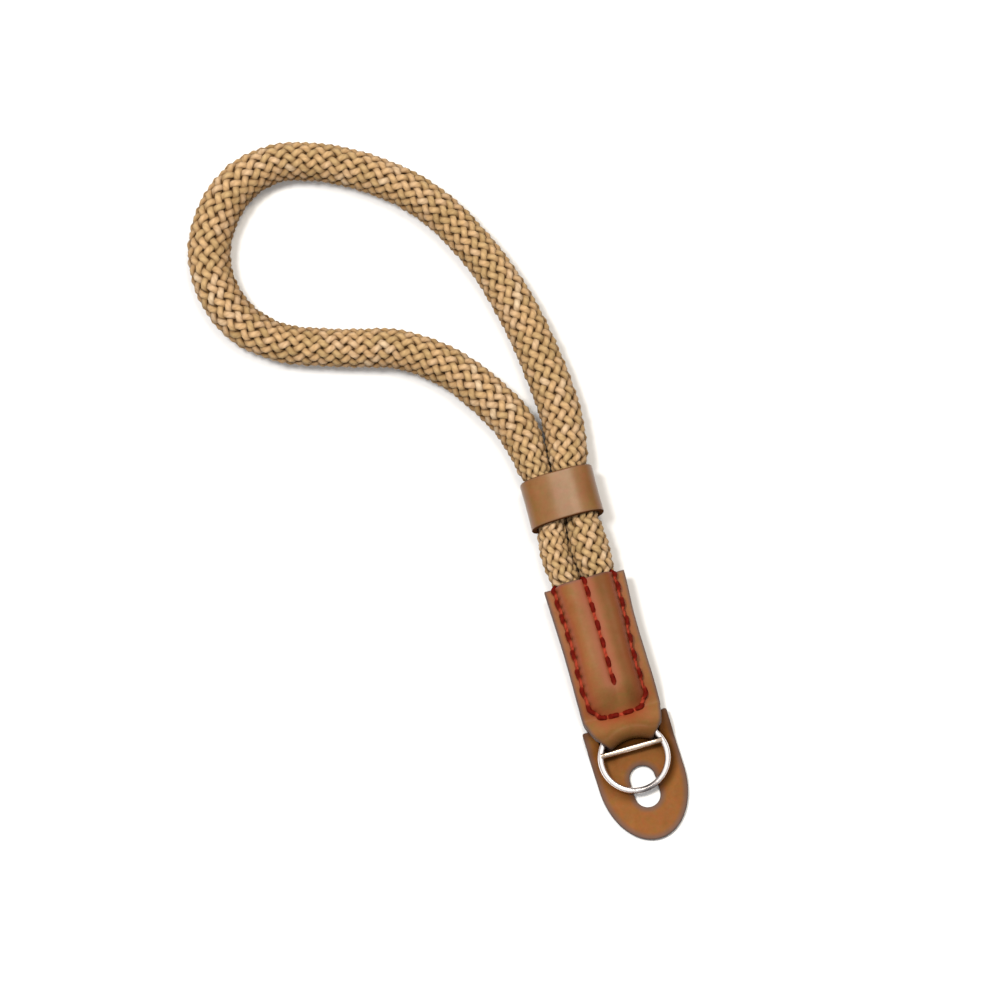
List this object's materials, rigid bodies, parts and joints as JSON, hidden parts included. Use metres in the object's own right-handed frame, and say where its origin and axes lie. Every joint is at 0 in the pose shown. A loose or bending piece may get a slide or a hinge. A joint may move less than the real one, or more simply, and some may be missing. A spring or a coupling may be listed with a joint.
{
  "type": "camera wrist strap",
  "caption": "Thick braided rope wrist loop with a leather keeper, a stitched leather sleeve, a barred metal ring and a leather guard flap.",
  "frame": {"origin": "bottom centre of the strap's box, on the surface that it lies on", "axes": "+Z up from the surface, +Y from the ring's end towards the wrist loop, +X to the right as seen from above with +Y up"},
  "size_m": [0.1355, 0.1921, 0.0142],
  "materials": {
    "tan_braided_rope": "matt braid",
    "keeper_leather": "smooth, satin",
    "sleeve_leather": "smooth, satin",
    "bright_metal": "polished",
    "flap_leather": "smooth, satin"
  },
  "bodies": {
    "root": {"rope": "tan_braided_rope", "keeper": "keeper_leather", "sleeve": "sleeve_leather", "ring": "bright_metal", "flap": "flap_leather"}
  },
  "joints": []
}
